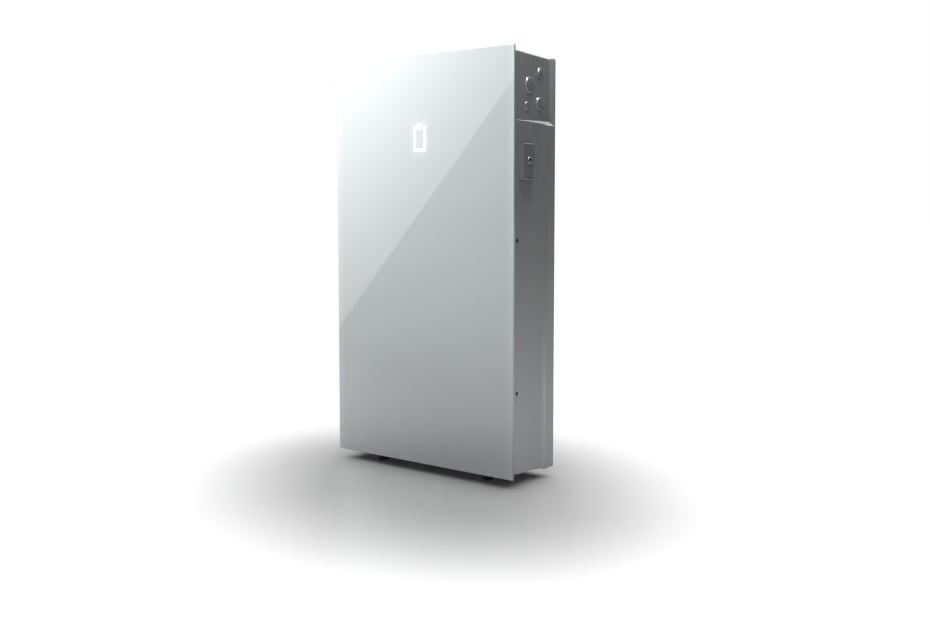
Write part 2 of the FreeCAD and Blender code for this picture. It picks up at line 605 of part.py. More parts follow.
# ---------------------------------------------------------------- switch
def make_switch():
    cover = new_body("switch_plate")
    outline = box_loop("plate_front", "plate_back", "plate_low", "plate_high")
    extrude(cover, "Pad", "x", [outline], "block_half - plate_thick", "block_half")
    dress(cover, "Fillet", along("x"), Radius="plate_corner")
    notches = [("notch_depth_at", "plate_high + notch_radius - notch_reach", "notch_radius"),
               ("notch_depth_at", "plate_low - notch_radius + notch_reach", "notch_radius")]
    extrude(cover, "Pocket", "x", [], "block_half - plate_thick - 1", "block_half + 1",
            notches + [("switch_depth", "switch_height", "barrel_radius + barrel_clear")])
    settle(cover, "switch_plate")
    centre = ("switch_depth", "switch_height")
    ring = new_body("switch_ring")
    extrude(ring, "Pad", "x", [], "block_half", "block_half + ring_proud",
            [(*centre, "ring_radius"), (*centre, "ring_hole")])
    dress_circles(ring, "Chamfer", "ring_radius", Size="ring_proud / 3")
    settle(ring, "switch_ring")
    barrel = new_body("switch_body")
    extrude(barrel, "Pad", "x", [], "barrel_inner", "block_half", [(*centre, "barrel_radius")])
    extrude(barrel, "Pocket", "x", [], "barrel_inner + barrel_floor", "block_half + 1",
            [(*centre, "barrel_bore")])
    settle(barrel, "switch_body")
    button = new_body("power_button")
    extrude(button, "Pad", "x", [], "button_inner", "block_half + ring_proud - button_sunk",
            [(*centre, "button_radius")])
    extrude(button, "Pocket", "x", [], "button_inner - 1", "block_half - button_crown",
            [(*centre, "button_radius - button_wall")])
    settle(button, "power_button")
    make_button_spring()


def make_button_spring():
    """A helical spring between the barrel's floor and the button's crown."""
    start = number_of("barrel_inner + barrel_floor + spring_wire")
    end = number_of("block_half - button_crown - spring_wire")
    pitch = (end - start) / number_of("spring_coils")
    helix = Part.makeHelix(pitch, end - start, number_of("spring_radius"))
    wire_place = FreeCAD.Vector(number_of("spring_radius"), 0, 0)
    section = Part.Wire(Part.makeCircle(number_of("spring_wire"), wire_place, FreeCAD.Vector(0, 1, 0)))
    coil = Part.Wire(helix).makePipeShell([section], True, True)
    spring = doc.addObject("Part::Feature", "button_spring")
    spring.Shape = coil
    foot = FreeCAD.Vector(start, number_of("switch_depth - total_depth / 2"),
                          number_of("switch_height + floor_gap"))
    spring.Placement = FreeCAD.Placement(foot, FreeCAD.Rotation(FreeCAD.Vector(0, 1, 0), 90))
    spring.Label = "button_spring"
    subparts["button_spring"] = spring


# ---------------------------------------------------------------- rear chassis and back plate
def make_rear_chassis():
    body = new_body("rear_chassis")
    inner = "recess_half_back"
    outline = [("-rim_half", "chassis_low"), ("rim_half", "chassis_low"),
               ("rim_half", ledge_at("rim_half")), (inner, "chassis_high"), (f"-{inner}", "chassis_high"),
               ("-rim_half", ledge_at("rim_half"))]
    extrude(body, "Pad", "y", [outline], "rim_front", "flange_front")
    low = number_of("chassis_low")
    dress(body, "Fillet", lambda a, b: along("y")(a, b) and abs(a.z - low) < 1e-3, Radius="chassis_corner")
    wall = "chassis_wall"
    top = f"chassis_high - {wall}"
    shoulder = f"{ledge_at('rim_half')} - {wall}"
    channel = [(f"-rim_half + {wall}", f"chassis_low + {wall}"),
               (f"rim_half - {wall}", f"chassis_low + {wall}"),
               (f"rim_half - {wall}", shoulder), (f"{inner} - {wall}", top), (f"-{inner} + {wall}", top),
               (f"-rim_half + {wall}", shoulder)]
    extrude(body, "Pocket", "y", [channel], f"rim_front + {wall}", "flange_front + 1")
    bosses = []
    for x, z in chassis_screw_places():
        if x == "0":
            bosses.append(box_loop("-boss_half", "boss_half", "chassis_low + 1", "screw_bottom + boss_half"))
            continue
        low, high = f"{x} - boss_half", f"{x} + boss_reach"
        if x.startswith("-"):
            low, high = f"{x} - boss_reach", f"{x} + boss_half"
        bosses.append(box_loop(low, high, f"{z} - boss_half", f"{z} + boss_half"))
    extrude(body, "Pad", "y", bosses, f"rim_front + {wall} - 1", "flange_front")
    shank_holes = [(x, z, "small_shank_radius + hole_clear") for x, z in chassis_screw_places()]
    extrude(body, "Pocket", "y", [], "flange_front - screw_deep", "flange_front + 1", shank_holes)
    settle(body, "rear_chassis")


def make_chassis_gasket():
    half_out = "(rim_half - 2.6)"
    half_in = "(shell_half_front - shell_wall - 6)"
    low = "shell_low_back + gasket_inset"
    outer = box_loop(f"-{half_out}", half_out, low, f"{ledge_at('rim_half')} - 3")
    inner = box_loop(f"-{half_in}", half_in, f"{low} + 8", f"{ledge_at('rim_half')} - 20")
    plate("chassis_gasket", "y", [outer, inner], "shell_back", "rim_front")


def chassis_screw_places():
    """Across and height of the flange screws that enter the rear chassis."""
    half = "(rim_half - screw_across_in)"
    levels = ("screw_low", "screw_mid_low", "screw_mid_high", "screw_high")
    places = [(f"{sign} * {half}", level) for sign in SIDES.values() for level in levels]
    return places + [("0", "screw_bottom")]


def shell_screw_places():
    """Across and height of the flange screws that enter the top of the shell."""
    half = "(recess_half_back - shell_screw_in)"
    level = "flange_high - shell_screw_drop"
    return [(f"{sign} * {half}", level) for sign in SIDES.values()] + [("0", level)]


def fan_screw_places(sign):
    return [(f"{sign} * fan_across {across} fan_screw_at", f"fan_height {up} fan_screw_at")
            for across in "+-" for up in "+-"]


def make_back_plate():
    body = new_body("back_plate")
    outline = box_loop("-rim_half", "rim_half", "chassis_low", "flange_high")
    extrude(body, "Pad", "y", [outline], "flange_front", "total_depth")
    dress(body, "Fillet", along("y"), Radius="flange_corner")
    pan = box_loop("-rim_half + lip_wide", "rim_half - lip_wide", "chassis_low + lip_wide",
                   "flange_high - lip_wide")
    extrude(body, "Pocket", "y", [pan], "flange_front + plate_deep", "total_depth + 1")
    window = box_loop("-window_half", "window_half", "window_low", "window_high")
    slots = [box_loop("-vent_half", "vent_half", f"vent_low + {i} * vent_pitch",
                      f"vent_low + {i} * vent_pitch + vent_slot") for i in range(DIMENSIONS["vent_rows"])]
    intakes = [(f"{sign} * fan_across", "fan_height", "guard_radius") for sign in SIDES.values()]
    holes = [(x, z, "small_shank_radius + screw_clear")
             for x, z in chassis_screw_places() + shell_screw_places()]
    extrude(body, "Pocket", "y", [window] + slots, "flange_front - 1", "flange_front + plate_deep + 1",
            intakes + holes)
    step = box_loop("step_half", "rim_half + 1", "step_low", "flange_high + 1")
    extrude(body, "Pocket", "y", [step, mirrored(step)], "flange_front - 1", "flange_front + step_deep")
    settle(body, "back_plate")
    screws = []
    for i, (x, z) in enumerate(chassis_screw_places() + shell_screw_places()):
        head = rod(f"back_screw_head_{i}", "y", x, "flange_front + plate_deep", z, "small_screw_radius",
                   "head_tall")
        shank = rod(f"back_screw_shank_{i}", "y", x, "flange_front - screw_deep + plate_deep", z,
                    "small_shank_radius", "screw_deep")
        screws += [head, shank]
    for side, sign in SIDES.items():
        for i, (x, z) in enumerate(fan_screw_places(sign)):
            screws.append(rod(f"fan_screw_{side}_{i}", "y", x, "flange_front + plate_deep", z,
                              "small_screw_radius", "head_tall"))
    settle(fuse("back_screw_set", screws), "back_plate_screws")


# ---------------------------------------------------------------- wall bracket
def make_wall_bracket():
    body = new_body("wall_bracket")
    outline = box_loop("-bracket_half", "bracket_half", "bracket_low", "bracket_high")
    extrude(body, "Pad", "y", [outline], "bracket_front", "total_depth")
    dress(body, "Fillet", along("y"), Radius="bracket_corner")
    bolts = [(f"{sign} * bolt_across", f"bolt_middle {row} bolt_up", "bolt_radius")
             for sign in SIDES.values() for row in "+-"]
    extrude(body, "Pocket", "y", [], "bracket_front - 1", "total_depth + 1", bolts)
    shelf = "(rail_low - hook_clear)"
    profile = [("hook_front", f"{shelf} - hook_thick"), ("bracket_front + 1", f"{shelf} - hook_thick"),
               ("bracket_front + 1", shelf), ("hook_lip_back", shelf),
               ("hook_lip_back", "hook_lip_high"), ("hook_front", "hook_lip_high")]
    for across in ("-hook_across", "0", "hook_across"):
        extrude(body, "Pad", "x", [profile], f"{across} - hook_half", f"{across} + hook_half")
    settle(body, "wall_bracket")


def make_hang_rail():
    rail = new_body("hang_rail")
    outline = box_loop("-rail_half", "rail_half", "rail_low", "rail_high")
    extrude(rail, "Pad", "y", [outline], "rail_front", "rail_back")
    dress(rail, "Fillet", along("y"), Radius="rail_corner")
    settle(rail, "hang_rail")
    posts = [block(f"rail_post_{side}", f"{sign} * post_across - post_half",
                   f"{sign} * post_across + post_half", "rim_front + chassis_wall", "rail_front",
                   "rail_low + post_in", "rail_high - post_in") for side, sign in SIDES.items()]
    settle(fuse("rail_post_set", posts), "rail_posts")


# ---------------------------------------------------------------- cooling
def make_fan(side, sign):
    centre = (f"{sign} * fan_across", "fan_height")
    frame = new_body(f"fan_frame_{side}")
    square = box_loop(f"{sign} * fan_across - fan_half", f"{sign} * fan_across + fan_half",
                      "fan_height - fan_half", "fan_height + fan_half")
    extrude(frame, "Pad", "y", [square], "fan_front", "fan_back")
    dress(frame, "Fillet", along("y"), Radius="fan_corner")
    extrude(frame, "Pocket", "y", [], "fan_front + fan_web", "fan_back + 1", [(*centre, "fan_bore")])
    spokes = [(*centre, "fan_bore"), (*centre, "hub_radius")]
    extrude(frame, "Pocket", "y", [], "fan_front - 1", "fan_front + fan_web + 0.5", spokes)
    for wide, tall in (("(fan_bore + 1)", "spoke_half"), ("spoke_half", "(fan_bore + 1)")):
        arm = box_loop(f"{centre[0]} - {wide}", f"{centre[0]} + {wide}", f"fan_height - {tall}",
                       f"fan_height + {tall}")
        extrude(frame, "Pad", "y", [arm], "fan_front", "fan_front + spoke_deep")
    settle(frame, f"fan_frame_{side}")

    hub = rod(f"fan_hub_{side}", "y", centre[0], "fan_front + hub_start", centre[1], "hub_radius",
              "fan_back - fan_front - hub_short")
    hub_centre = FreeCAD.Vector(number_of(centre[0]), number_of("(fan_front + fan_back) / 2 + 1"),
                                number_of(centre[1]))
    corner = FreeCAD.Vector(number_of("hub_radius - 2"), number_of("-blade_wide / 2"),
                            number_of("-blade_thick / 2"))
    blades = []
    for i in range(DIMENSIONS["blade_count"]):
        blade = doc.addObject("Part::Box", f"fan_blade_{side}_{i}")
        bind(blade, Length="rotor_radius - hub_radius + 2", Width="blade_wide", Height="blade_thick")
        swing = FreeCAD.Rotation(FreeCAD.Vector(0, 1, 0), 360 * i / DIMENSIONS["blade_count"])
        pitch = FreeCAD.Rotation(FreeCAD.Vector(1, 0, 0), sign * DIMENSIONS["blade_pitch"])
        turn = swing.multiply(pitch)
        blade.Placement = FreeCAD.Placement(hub_centre + turn.multVec(corner), turn)
        blades.append(blade)
    settle(fuse(f"fan_rotor_set_{side}", [hub] + blades), f"fan_rotor_{side}")


def make_fan_guards():
    """Wire guards outside the intakes: a cross with rings."""
    guards = []
    near, far = "flange_front + plate_deep", "flange_front + plate_deep + guard_deep"
    for side, sign in SIDES.items():
        x = f"{sign} * fan_across"
        body = new_body(f"fan_guard_{side}")
        reach = "(guard_radius + guard_reach)"
        upright = box_loop(f"{x} - guard_wire", f"{x} + guard_wire", f"fan_height - {reach}",
                           f"fan_height + {reach}")
        level = box_loop(f"{x} - {reach}", f"{x} + {reach}", "fan_height - guard_wire",
                         "fan_height + guard_wire")
        extrude(body, "Pad", "y", [upright], near, far)
        extrude(body, "Pad", "y", [level], near, far)
        for i in range(4):
            radius = f"{reach} - {i} * guard_pitch"
            ring = [(x, "fan_height", radius), (x, "fan_height", f"{radius} - 2 * guard_wire")]
            extrude(body, "Pad", "y", [], near, far, ring)
        guards.append(body)
    settle(fuse("guard_set", guards), "fan_guards")


def make_heat_sink():
    body = new_body("heat_sink")
    outline = box_loop("-sink_half", "sink_half", "sink_low", "sink_high")
    extrude(body, "Pad", "y", [outline], "rim_front + chassis_wall", "sink_base")
    pitch = "(2 * sink_half - fin_thick) / (fin_count - 1)"
    fins = [box_loop(f"-sink_half + {i} * {pitch}", f"-sink_half + {i} * {pitch} + fin_thick", "sink_low",
                     "sink_high") for i in range(DIMENSIONS["fin_count"])]
    extrude(body, "Pad", "y", fins, "sink_base - 0.5", "sink_back")
    settle(body, "heat_sink")


# ---------------------------------------------------------------- battery
def make_battery():
    for i in range(4):
        low = f"(module_low + {i} * module_pitch)"
        name = f"battery_module_{i + 1}"
        body = new_body(name)
        outline = box_loop("-module_half", "module_half", low, f"{low} + module_tall")
        extrude(body, "Pad", "y", [outline], "module_front", "module_back")
        dress(body, "Fillet", along("y"), Radius="module_round")
        posts = [(f"{sign} * (module_half - terminal_in)", f"{low} + module_tall / 2", "terminal_radius")
                 for sign in SIDES.values()]
        extrude(body, "Pad", "y", [], "module_front - terminal_tall", "module_front + 1", posts)
        settle(body, name)
    top = "module_low + 3 * module_pitch + module_tall"
    for side, sign in SIDES.items():
        low, high = ("", "+ cradle_thick") if sign > 0 else ("- cradle_thick", "")
        wall = f"{sign} * (module_half + cradle_gap)"
        side_view = box_loop("module_front + spacer_in", "module_back", "module_low", top)
        plate(f"battery_cradle_{side}", "x", [side_view], f"{wall} {low}", f"{wall} {high}")
    straps = []
    for i in range(3):
        level = f"(module_low + {i} * module_pitch + module_tall)"
        straps.append(block(f"spacer_{i}", "-module_half + spacer_in", "module_half - spacer_in",
                            "module_front + spacer_in", "module_back - spacer_in", level,
                            f"module_low + {i + 1} * module_pitch"))
    settle(fuse("spacer_set", straps), "module_spacers")
    bars = []
    for i in range(3):
        sign = 1 if i % 2 == 0 else -1
        x = f"{sign} * (module_half - terminal_in)"
        low = f"module_low + {i} * module_pitch + module_tall / 2 - bus_half"
        high = f"module_low + {i + 1} * module_pitch + module_tall / 2 + bus_half"
        near = "module_front - terminal_tall"
        bars.append(block(f"bus_{i}", f"{x} - bus_half", f"{x} + bus_half", f"{near} - bus_thick", near,
                          low, high))
    settle(fuse("bus_set", bars), "busbars")


# ---------------------------------------------------------------- electronics
def make_boards():
    for label, low, high in (("power_board", "power_low", "power_high"),
                             ("control_board", "control_low", "control_high")):
        body = new_body(label)
        outline = box_loop("-board_half", "board_half", low, high)
        extrude(body, "Pad", "y", [outline], "board_front", "board_back")
        dress(body, "Fillet", along("y"), Radius="board_corner")
        settle(body, label)
    posts = []
    for low, high in (("power_low", "power_high"), ("control_low", "control_high")):
        for across in ("-standoff_across", "0", "standoff_across"):
            for level in (f"{low} + standoff_in", f"{high} - standoff_in"):
                posts.append(rod("standoff", "y", across, "board_back", level, "standoff_radius",
                                 "rim_front - board_back"))
    settle(fuse("standoff_set", posts), "board_standoffs")


def make_power_parts():
    coils = []
    cores = []
    for i in range(3):
        x = f"inductor_first + {i} * inductor_pitch"
        z = "power_low + inductor_up"
        coils.append(rod(f"inductor_{i}", "y", x, "board_front - inductor_tall", z, "inductor_radius",
                         "inductor_tall"))
        cores.append(rod(f"inductor_hole_{i}", "y", x, "board_front - inductor_tall - 1", z,
                         "inductor_hole", "inductor_tall + 1"))
    settle(cut("inductor_set", fuse("coil_set", coils), fuse("core_set", cores)), "power_inductors")
    cans = [rod(f"can_{i}", "y", f"can_first + {i % 5} * can_pitch", "board_front - can_tall",
                f"power_low + can_up + {i // 5} * can_row", "can_radius", "can_tall") for i in range(10)]
    settle(fuse("can_set", cans), "dc_capacitors")
    switch = new_body("battery_contactor")
    outline = box_loop("contactor_left", "contactor_right", "power_low + contactor_low",
                       "power_low + contactor_high")
    extrude(switch, "Pad", "y", [outline], "board_front - contactor_tall", "board_front")
    dress(switch, "Fillet", along("y"), Radius="contactor_corner")
    settle(switch, "battery_contactor")
    chips = [block(f"shield_{i}", f"{i} * shield_across - shield_half", f"{i} * shield_across + shield_half",
                   "board_front - shield_tall", "board_front", "control_low + shield_low",
                   "control_low + shield_high") for i in (-1, 0, 1)]
    settle(fuse("shield_set", chips), "board_shields")


def make_wiring_parts():
    terminals = [block(f"terminal_{i}", f"strip_first + {i} * strip_pitch",
                       f"strip_first + {i} * strip_pitch + strip_wide", "strip_front", "strip_back",
                       "deck_high", "deck_high + strip_tall") for i in range(6)]
    settle(fuse("terminal_set", terminals), "terminal_block")
    bar = new_body("ground_bar")
    outline = box_loop("ground_left", "ground_right", "deck_high", "deck_high + ground_tall")
    extrude(bar, "Pad", "y", [outline], "ground_front", "ground_back")
    lug_holes = [(f"ground_left + lug_in + {i} * lug_pitch", "(ground_front + ground_back) / 2", "lug_radius")
                 for i in range(DIMENSIONS["lug_count"])]
    extrude(bar, "Pocket", "z", [], "deck_high + lug_floor", "deck_high + ground_tall + 1", lug_holes)
    settle(bar, "ground_bar")


# ---------------------------------------------------------------- feet and vent
def make_feet():
    places = [(f"{side}_{row}", f"{sign} * foot_across", depth)
              for side, sign in SIDES.items()
              for row, depth in (("front", "foot_front"), ("rear", "foot_back"))]
    for name, x, depth in places:
        pad = new_body(f"foot_pad_{name}")
        extrude(pad, "Pad", "z", [], "-floor_gap", "-floor_gap + foot_pad", [(x, depth, "foot_radius")])
        dress_circles(pad, "Chamfer", "foot_radius", Size="1")
        settle(pad, f"foot_pad_{name}")
    stems = [rod(f"stem_{name}", "z", x, depth, "-floor_gap + foot_pad", "stem_radius",
                 "foot_stem_top + floor_gap - foot_pad") for name, x, depth in places]
    settle(fuse("stem_set", stems), "foot_stems")


def make_pressure_vent():
    """A breather plug under the battery cavity."""
    body = new_body("pressure_vent")
    neck = [("0", "vent_plug_depth", "vent_plug_neck")]
    extrude(body, "Pad", "z", [], "vent_plug_low", "vent_plug_top", neck)
    extrude(body, "Pad", "z", [], "vent_plug_low", "vent_plug_low + vent_plug_cap",
            [("0", "vent_plug_depth", "vent_plug_radius")])
    dress_circles(body, "Chamfer", "vent_plug_radius", Size="0.8")
    settle(body, "pressure_vent")


for side, sign in SIDES.items():
    make_fan(side, sign)
for make in (make_front_glass, make_mark, make_backing_panel, make_cover_frame, make_cover_clips,
             make_locating_pins, make_enclosure_shell, make_conduit_plugs, make_release_caps,
             make_wiring_cover, make_switch, make_rear_chassis, make_chassis_gasket, make_back_plate,
             make_wall_bracket, make_hang_rail, make_fan_guards, make_heat_sink, make_battery, make_boards,
             make_power_parts, make_wiring_parts, make_feet, make_pressure_vent):
    make()

# ---------------------------------------------------------------- checks and files
doc.recompute()
for obj in doc.Objects:
    if {"Invalid", "Error"} & set(obj.State):
        raise RuntimeError(f"{obj.Label} did not recompute: {obj.State}")
for label, obj in subparts.items():
    if obj.Shape.isNull() or not obj.Shape.isValid() or not obj.Shape.Solids:
        raise RuntimeError(f"{label} has no valid solid")
os.makedirs("parts", exist_ok=True)
for label, obj in subparts.items():
    obj.Shape.exportStep(f"parts/{label}.step")
whole = FreeCAD.BoundBox()
for label, obj in subparts.items():
    whole.add(obj.Shape.BoundBox)
print(len(subparts), "sub-parts", whole)
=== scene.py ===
"""Looks of the wall battery unit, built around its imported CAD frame. Lengths are in metres."""
import json
import math

import bmesh
import bpy
from mathutils import Matrix, Vector

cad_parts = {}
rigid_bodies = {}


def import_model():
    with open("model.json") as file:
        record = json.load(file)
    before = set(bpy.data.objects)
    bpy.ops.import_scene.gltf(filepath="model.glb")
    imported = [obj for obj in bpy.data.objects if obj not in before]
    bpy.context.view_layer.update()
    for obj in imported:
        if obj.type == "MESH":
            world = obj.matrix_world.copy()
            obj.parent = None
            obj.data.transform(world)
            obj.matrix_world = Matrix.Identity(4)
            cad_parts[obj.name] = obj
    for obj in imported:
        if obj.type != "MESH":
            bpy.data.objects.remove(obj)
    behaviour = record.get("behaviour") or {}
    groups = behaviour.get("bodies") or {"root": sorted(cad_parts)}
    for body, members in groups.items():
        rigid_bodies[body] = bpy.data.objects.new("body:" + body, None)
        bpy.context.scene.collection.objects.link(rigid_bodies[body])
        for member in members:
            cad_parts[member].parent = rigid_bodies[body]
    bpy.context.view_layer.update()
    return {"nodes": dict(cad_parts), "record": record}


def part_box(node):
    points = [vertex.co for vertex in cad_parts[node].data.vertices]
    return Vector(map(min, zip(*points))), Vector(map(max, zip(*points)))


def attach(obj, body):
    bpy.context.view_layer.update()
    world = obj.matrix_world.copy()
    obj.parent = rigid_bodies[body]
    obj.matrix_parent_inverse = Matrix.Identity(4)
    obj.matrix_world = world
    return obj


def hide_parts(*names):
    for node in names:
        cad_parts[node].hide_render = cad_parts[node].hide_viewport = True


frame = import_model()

MM = 0.001
nodes = frame["nodes"]
scene = bpy.context.scene
mounts = {mount["name"]: mount for mount in frame["record"]["mounts"]}
GLASS_LOW, GLASS_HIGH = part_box("front_glass")
MARK_LOW, MARK_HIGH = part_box("mark_lens")


# ---------------------------------------------------------------- material helpers
class Shader:
    """A material under construction: short calls that add and link nodes."""

    def __init__(self, name, colour, metallic=0.0, roughness=0.5):
        self.material = bpy.data.materials.new(name)
        self.material.use_nodes = True
        self.tree = self.material.node_tree
        self.surface = self.tree.nodes["Principled BSDF"]
        self.set("Base Color", (*colour, 1.0))
        self.set("Metallic", metallic)
        self.set("Roughness", roughness)
        self.place = self.add("ShaderNodeTexCoord").outputs["Object"]

    def set(self, socket, value):
        self.surface.inputs[socket].default_value = value
        return self

    def add(self, kind, **values):
        node = self.tree.nodes.new(kind)
        for key, value in values.items():
            setattr(node, key, value)
        return node

    def link(self, output, target):
        self.tree.links.new(output, target)

    def feed(self, output, socket):
        self.link(output, self.surface.inputs[socket])
        return self

    def noise(self, scale, detail=3.0, stretch=(1, 1, 1)):
        """Noise from 0 to 1 in the object's own space, stretched along its axes."""
        mapping = self.add("ShaderNodeMapping")
        mapping.inputs["Scale"].default_value = stretch
        self.link(self.place, mapping.inputs["Vector"])
        texture = self.add("ShaderNodeTexNoise")
        texture.inputs["Scale"].default_value = scale
        texture.inputs["Detail"].default_value = detail
        self.link(mapping.outputs["Vector"], texture.inputs["Vector"])
        return texture.outputs["Fac"]

    def ramp(self, value, low, high, start=0.0, end=1.0, smooth=False):
        """Maps a value from start..end to low..high, with no overshoot."""
        node = self.add("ShaderNodeMapRange")
        if smooth:
            node.interpolation_type = "SMOOTHSTEP"
        for socket, number in (("From Min", start), ("From Max", end), ("To Min", low), ("To Max", high)):
            node.inputs[socket].default_value = number
        self.link(value, node.inputs["Value"])
        return node.outputs["Result"]

    def math(self, operation, first, second=None):
        node = self.add("ShaderNodeMath", operation=operation)
        for index, value in enumerate((first, second)):
            if value is None:
                continue
            if isinstance(value, (int, float)):
                node.inputs[index].default_value = value
            else:
                self.link(value, node.inputs[index])
        return node.outputs[0]

    def mix(self, factor, first, second):
        """Mixes two colours, each a tuple or an output."""
        node = self.add("ShaderNodeMix", data_type="RGBA")
        self.link(factor, node.inputs["Factor"])
        for socket, value in ((6, first), (7, second)):
            if isinstance(value, tuple):
                node.inputs[socket].default_value = (*value, 1.0)
            else:
                self.link(value, node.inputs[socket])
        return node.outputs[2]

    def bump(self, height, strength, distance, edge=0.0):
        """Bumps the surface; edge rounds the shading of sharp edges by that radius."""
        node = self.add("ShaderNodeBump")
        node.inputs["Strength"].default_value = strength
        node.inputs["Distance"].default_value = distance
        self.link(height, node.inputs["Height"])
        if edge > 0:
            bevel = self.add("ShaderNodeBevel", samples=6)
            bevel.inputs["Radius"].default_value = edge
            self.link(bevel.outputs["Normal"], node.inputs["Normal"])
        return self.feed(node.outputs["Normal"], "Normal")

    def axes(self):
        """The object-space coordinates as three separate outputs."""
        node = self.add("ShaderNodeSeparateXYZ")
        self.link(self.place, node.inputs["Vector"])
        return node.outputs

    def facing(self, axis):
        """How squarely the surface faces along one axis of the object, from 0 to 1."""
        geometry = self.add("ShaderNodeNewGeometry")
        node = self.add("ShaderNodeSeparateXYZ")
        self.link(geometry.outputs["Normal"], node.inputs["Vector"])
        return self.math("ABSOLUTE", node.outputs[axis])

    def sharp_edge_mask(self, radius):
        """1 on sharp outer edges and 0 elsewhere, from the bevelled and the true normals; the mask of the
        painted edge highlights.
        """
        bevel = self.add("ShaderNodeBevel", samples=6)
        bevel.inputs["Radius"].default_value = radius
        geometry = self.add("ShaderNodeNewGeometry")
        dot = self.add("ShaderNodeVectorMath", operation="DOT_PRODUCT")
        self.link(bevel.outputs["Normal"], dot.inputs[0])
        self.link(geometry.outputs["Normal"], dot.inputs[1])
        return self.ramp(dot.outputs["Value"], 1.0, 0.0, 0.75, 0.99)


def tinted(colour, factor):
    return tuple(min(1.0, channel * factor) for channel in colour)


def painted_metal(name, colour, roughness, metallic=0.0, gloss=0.22):
    """Satin powder coat: fine pebble, faint clouds, slightly uneven gloss, and painted highlights along sharp
    edges.
    """
    s = Shader(name, colour, metallic, roughness)
    cloud = s.mix(s.noise(5.0, 4.0), tinted(colour, 0.94), tinted(colour, 1.06))
    # Painted highlight: sharp edges are painted up to 2.6 times lighter, in patches of noise.
    painted_edge_highlight = s.math("MULTIPLY", s.sharp_edge_mask(0.6 * MM), s.ramp(s.noise(90.0, 4.0), 0.0, 0.7, 0.4, 0.7))
    s.feed(s.mix(painted_edge_highlight, cloud, tinted(colour, 2.6)), "Base Color")
    s.feed(s.ramp(s.noise(60.0, 3.0), roughness - 0.05, roughness + 0.06), "Roughness")
    s.set("Specular IOR Level", gloss)
    s.bump(s.noise(1400.0, 2.0), 0.12, 0.2 * MM, 0.7 * MM)
    return s.material


def moulded_plastic(name, colour, roughness=0.55, grain=900.0):
    """Spark-textured plastic with uneven gloss."""
    s = Shader(name, colour, 0.0, roughness)
    s.feed(s.mix(s.noise(14.0), tinted(colour, 0.88), tinted(colour, 1.12)), "Base Color")
    s.feed(s.ramp(s.noise(140.0), roughness - 0.08, roughness + 0.08), "Roughness")
    s.bump(s.noise(grain, 2.0), 0.2, 0.2 * MM, 0.3 * MM)
    return s.material


def bare_metal(name, colour, roughness):
    """Metal with fine drawn lines along one axis."""
    s = Shader(name, colour, 1.0, roughness)
    lines = s.noise(120.0, 4.0, (1, 1, 30))
    s.feed(s.mix(lines, tinted(colour, 0.82), tinted(colour, 1.1)), "Base Color")
    s.feed(s.ramp(lines, roughness - 0.08, roughness + 0.12), "Roughness")
    s.bump(lines, 0.1, 0.1 * MM, 0.3 * MM)
    return s.material


def rubber(name, colour):
    """Matt rubber with a mottled colour and a fine grain."""
    s = Shader(name, colour, 0.0, 0.78)
    s.feed(s.mix(s.noise(30.0), tinted(colour, 0.7), tinted(colour, 1.4)), "Base Color")
    s.feed(s.ramp(s.noise(50.0), 0.7, 0.85), "Roughness")
    s.bump(s.noise(700.0), 0.3, 0.3 * MM)
    return s.material


def circuit_board(name, colour):
    """Green solder mask with a faint pattern of tracks."""
    s = Shader(name, colour, 0.0, 0.35)
    tracks = s.add("ShaderNodeTexBrick")
    tracks.inputs["Scale"].default_value = 90.0
    tracks.inputs["Mortar Size"].default_value = 0.03
    mapping = s.add("ShaderNodeMapping")
    mapping.inputs["Rotation"].default_value = (math.pi / 2, 0, 0)
    s.link(s.place, mapping.inputs["Vector"])
    s.link(mapping.outputs["Vector"], tracks.inputs["Vector"])
    s.feed(s.mix(tracks.outputs["Fac"], colour, tinted(colour, 1.9)), "Base Color")
    s.feed(s.ramp(s.noise(40.0), 0.3, 0.42), "Roughness")
    s.bump(tracks.outputs["Fac"], 0.2, 0.2 * MM)
    return s.material


def give(material, *names):
    """Every slot of these CAD nodes gets the material."""
    for name in names:
        mesh = nodes[name].data
        mesh.materials.clear()
        mesh.materials.append(material)


# ---------------------------------------------------------------- glass and light
def glass_material():
    """Silver glass, painted behind: pale satin face under clear gloss, blue-green polished edges."""
    face = (0.455, 0.49, 0.50)
    edge = (0.10, 0.26, 0.27)
    s = Shader("pale_glass", face, 0.0, 0.4)
    x, _, z = s.axes()
    half_wide = GLASS_HIGH.x
    from_side = s.math("SUBTRACT", half_wide, s.math("ABSOLUTE", x))
    # Painted highlight: the face is painted lighter within 30 mm of its left and right sides.
    painted_side_highlight = s.ramp(from_side, 0.5, 0.0, 0.0, 30 * MM, True)
    body = s.mix(s.noise(2.0, 2.0), tinted(face, 0.985), tinted(face, 1.015))
    is_face = s.ramp(s.facing("Y"), 0.0, 1.0, 0.75, 0.95)
    s.feed(s.mix(is_face, edge, s.mix(painted_side_highlight, body, tinted(face, 1.25))), "Base Color")
    s.feed(s.ramp(s.noise(30.0), 0.36, 0.44), "Roughness")
    s.set("Coat Weight", 1.0).set("Coat Roughness", 0.02).set("Coat IOR", 1.52)

    # Light from the pictogram spreads a little in the glass
    mark_high = (MARK_LOW.z + MARK_HIGH.z) / 2
    out_x = s.math("MAXIMUM", s.math("SUBTRACT", s.math("ABSOLUTE", x), MARK_HIGH.x), 0.0)
    off_z = s.math("ABSOLUTE", s.math("SUBTRACT", z, mark_high))
    out_z = s.math("MAXIMUM", s.math("SUBTRACT", off_z, MARK_HIGH.z - mark_high), 0.0)
    squares = s.math("ADD", s.math("POWER", out_x, 2.0), s.math("POWER", out_z, 2.0))
    halo = s.ramp(s.math("SQRT", squares), 0.05, 0.0, 0.0, 20 * MM, True)
    s.set("Emission Color", (0.93, 0.98, 1.0, 1.0))
    s.feed(s.math("MULTIPLY", halo, is_face), "Emission Strength")
    return s.material


